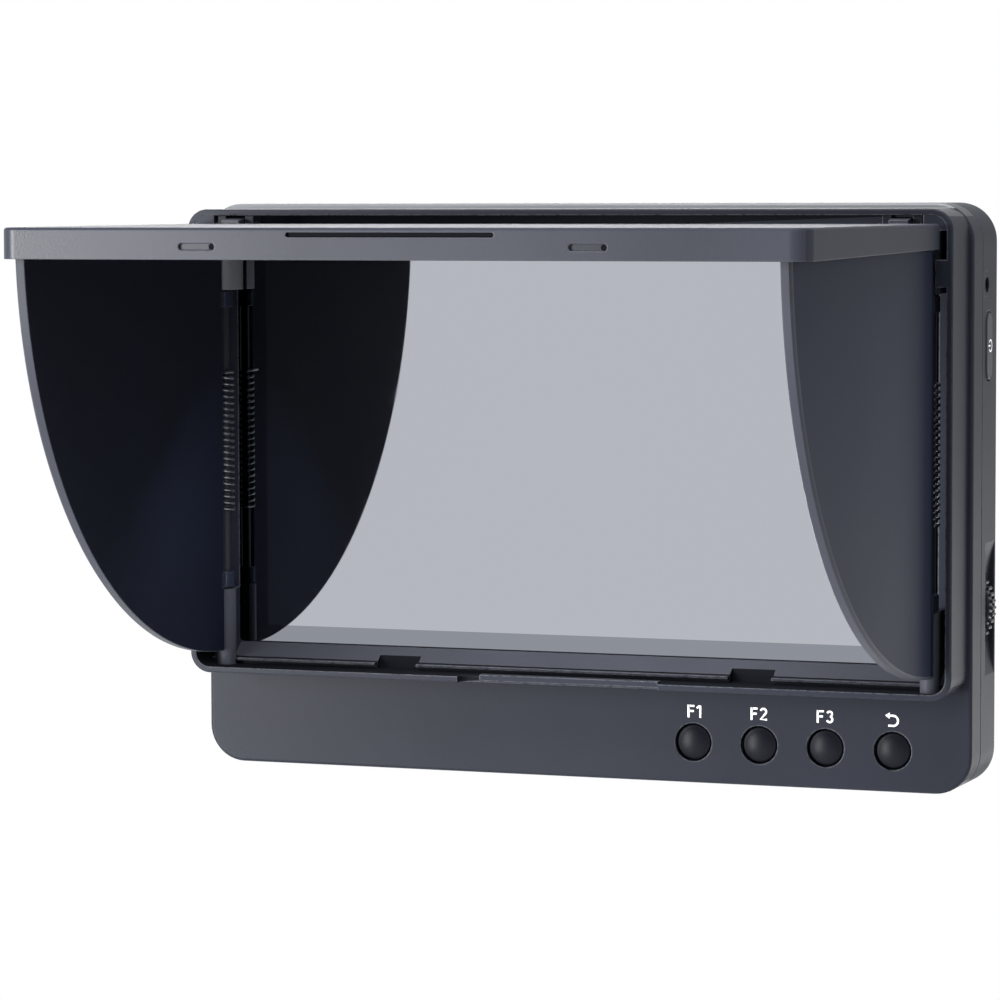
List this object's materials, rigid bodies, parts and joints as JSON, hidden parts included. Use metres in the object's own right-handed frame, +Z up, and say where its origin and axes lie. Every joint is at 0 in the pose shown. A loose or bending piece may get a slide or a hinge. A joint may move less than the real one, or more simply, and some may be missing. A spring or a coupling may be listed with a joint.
{
  "type": "camera field monitor",
  "caption": "Camera field monitor with a built-in folding sun hood: lid and sprung side panels in a collar, front buttons, side power key and thumb dial, rear battery plate",
  "frame": {"origin": "on the axis of the tripod thread, where it leaves the bottom of the case", "axes": "+X to the viewer's right along the case's width, +Y from the screen towards the back, +Z up; the screen faces -Y"},
  "size_m": [0.1857, 0.1444, 0.131],
  "materials": {
    "case_plastic": "fine satin texture",
    "hood_plastic": "fine matte texture",
    "panel_plastic": "plain matte",
    "button_rubber": "satin, domed",
    "control_plastic": "satin",
    "screen_glass": "glossy",
    "lcd": "glossy dark cell",
    "white_film": "diffusing film",
    "foam": "adhesive foam",
    "tray_steel": "folded sheet",
    "circuit_board": "solder mask",
    "chip_plastic": "moulded",
    "fin_aluminium": "plain",
    "rod_steel": "dark oxide",
    "spring_steel": "dark oxide",
    "screw_steel": "black oxide",
    "socket_metal": "tinned",
    "jack_plastic": "moulded",
    "brass": "knurled and threaded",
    "contact_gold": "gold plated"
  },
  "bodies": {
    "case": {"front_bezel": "case_plastic", "rear_shell": "case_plastic", "screen_glass": "screen_glass", "glass_gasket": "foam", "lcd_panel": "lcd", "backlight": "white_film", "panel_tray": "tray_steel", "main_board": "circuit_board", "side_board": "circuit_board", "board_spacers": "brass", "board_screws": "screw_steel", "video_chip": "chip_plastic", "heat_spreader": "fin_aluminium", "button_board": "circuit_board", "tact_switches": "chip_plastic", "power_switch": "chip_plastic", "dial_encoder": "chip_plastic", "headphone_jack": "jack_plastic", "av_in_jack": "jack_plastic", "dc_in_jack": "jack_plastic", "hdmi_in_socket": "socket_metal", "hdmi_out_socket": "socket_metal", "tripod_insert": "brass", "case_screws": "screw_steel", "battery_plate": "control_plastic", "plate_screws": "screw_steel", "battery_contacts": "contact_gold", "lid_hinge_pins": "rod_steel", "left_hinge_rod": "rod_steel", "right_hinge_rod": "rod_steel"},
    "lid": {"lid": "hood_plastic"},
    "left_panel": {"left_side_panel": "panel_plastic", "left_torsion_spring": "spring_steel"},
    "right_panel": {"right_side_panel": "panel_plastic", "right_torsion_spring": "spring_steel"},
    "f1": {"f1_button": "button_rubber"},
    "f2": {"f2_button": "button_rubber"},
    "f3": {"f3_button": "button_rubber"},
    "return_key": {"return_button": "button_rubber"},
    "power": {"power_button": "control_plastic"},
    "dial": {"menu_dial": "control_plastic"},
    "release": {"battery_release": "control_plastic"}
  },
  "joints": [
    {"name": "lid_hinge", "type": "hinge", "parent": "case", "child": "lid", "pos_m": [0, -0.0258, 0.12605], "axis": [1, 0, 0], "range_deg": [0, 2.5]},
    {"name": "left_panel_hinge", "type": "hinge", "parent": "case", "child": "left_panel", "pos_m": [-0.0851, -0.0214, 0.07], "axis": [0, 0, 1], "range_deg": [0, 90], "stiffness_Nm_per_rad": 0.02, "springref_deg": -17.19},
    {"name": "right_panel_hinge", "type": "hinge", "parent": "case", "child": "right_panel", "pos_m": [0.0851, -0.0243, 0.07], "axis": [0, 0, -1], "range_deg": [0, 88.2], "stiffness_Nm_per_rad": 0.02, "springref_deg": -17.19},
    {"name": "f1_press", "type": "slide", "parent": "case", "child": "f1", "axis": [0, 1, 0], "range_m": [0, 0.0006], "stiffness_N_per_m": 800, "springref_m": -0.0003},
    {"name": "f2_press", "type": "slide", "parent": "case", "child": "f2", "axis": [0, 1, 0], "range_m": [0, 0.0006], "stiffness_N_per_m": 800, "springref_m": -0.0003},
    {"name": "f3_press", "type": "slide", "parent": "case", "child": "f3", "axis": [0, 1, 0], "range_m": [0, 0.0006], "stiffness_N_per_m": 800, "springref_m": -0.0003},
    {"name": "return_press", "type": "slide", "parent": "case", "child": "return_key", "axis": [0, 1, 0], "range_m": [0, 0.0006], "stiffness_N_per_m": 800, "springref_m": -0.0003},
    {"name": "power_press", "type": "slide", "parent": "case", "child": "power", "axis": [-1, 0, 0], "range_m": [0, 0.0005], "stiffness_N_per_m": 800, "springref_m": -0.0003},
    {"name": "dial_turn", "type": "hinge", "parent": "case", "child": "dial", "pos_m": [0.08245, 0.0004, 0.0404], "axis": [0, 1, 0], "continuous": true},
    {"name": "release_press", "type": "slide", "parent": "case", "child": "release", "axis": [0, -1, 0], "range_m": [0, 0.0015], "stiffness_N_per_m": 600, "springref_m": -0.0005}
  ]
}
